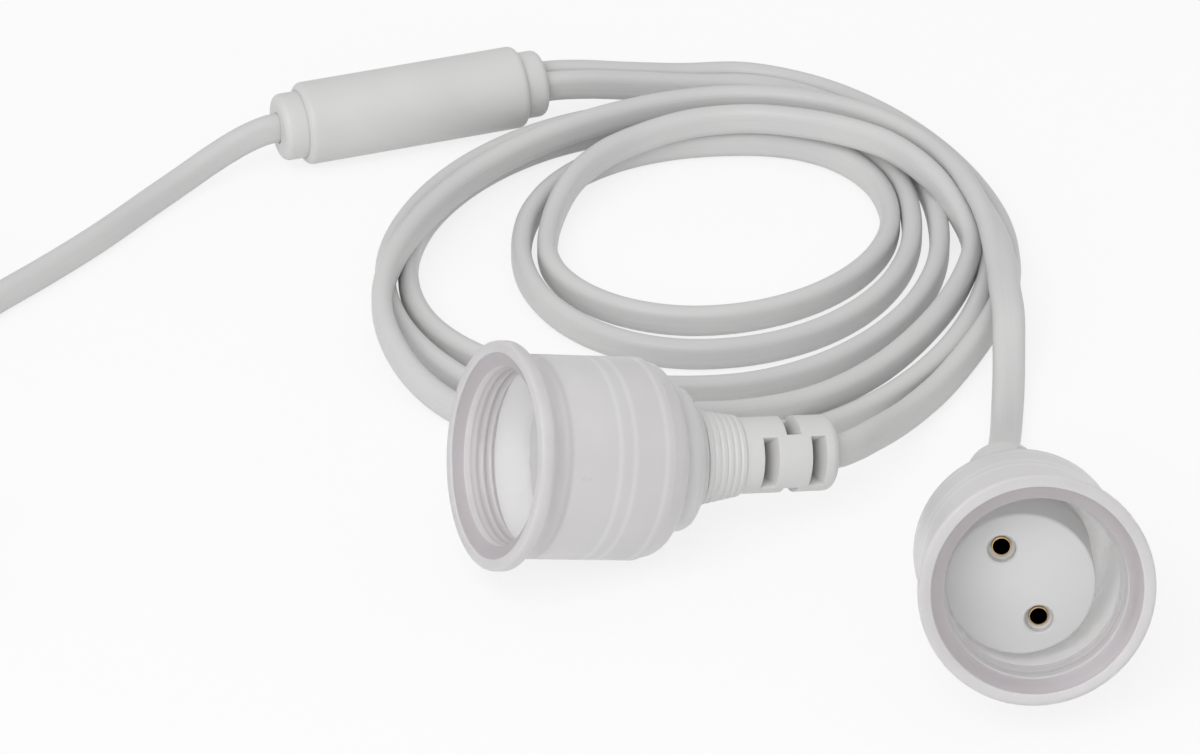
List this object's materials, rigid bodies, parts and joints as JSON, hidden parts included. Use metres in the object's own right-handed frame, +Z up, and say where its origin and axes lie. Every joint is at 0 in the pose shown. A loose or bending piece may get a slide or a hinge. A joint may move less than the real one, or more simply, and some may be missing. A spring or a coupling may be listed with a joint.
{
  "type": "fluorescent tube lampholder set",
  "caption": "Sealed lampholders with soft translucent caps over two-pin contact inserts, on flat white leads from a cylindrical in-line junction, with a tied supply lead and plug.",
  "frame": {"origin": "bottom centre of the box around the lampholders and the junction, on the surface they lie on", "axes": "+Z up, the picture is taken looking along +Y and down"},
  "size_m": [0.2643, 0.2006, 0.0402],
  "materials": {
    "seal_cap": "soft translucent, satin",
    "moulding": "satin",
    "junction": "satin",
    "cord": "smooth satin sheath",
    "contact": "bright",
    "plug": "satin",
    "plug_pin": "polished",
    "tie": "satin"
  },
  "bodies": {
    "root": {"seal_cap_a": "seal_cap", "contact_carrier_a": "moulding", "contact_sleeve_a1": "contact", "contact_sleeve_a2": "contact", "moulded_tail_a": "moulding", "seal_cap_b": "seal_cap", "contact_carrier_b": "moulding", "contact_sleeve_b1": "contact", "contact_sleeve_b2": "contact", "moulded_tail_b": "moulding", "junction_shell": "junction", "junction_bush_supply": "junction", "junction_bush_leads": "junction", "splice_core": "junction", "splice_crimp_1": "contact", "splice_crimp_2": "contact", "supply_lead": "cord", "supply_coil": "cord", "supply_end": "cord", "lead_a": "cord", "lead_b_start": "cord", "loose_coil": "cord", "lead_b_end": "cord", "plug_body": "plug", "plug_pin_1": "plug_pin", "plug_pin_2": "plug_pin", "coil_tie": "tie"}
  },
  "joints": []
}
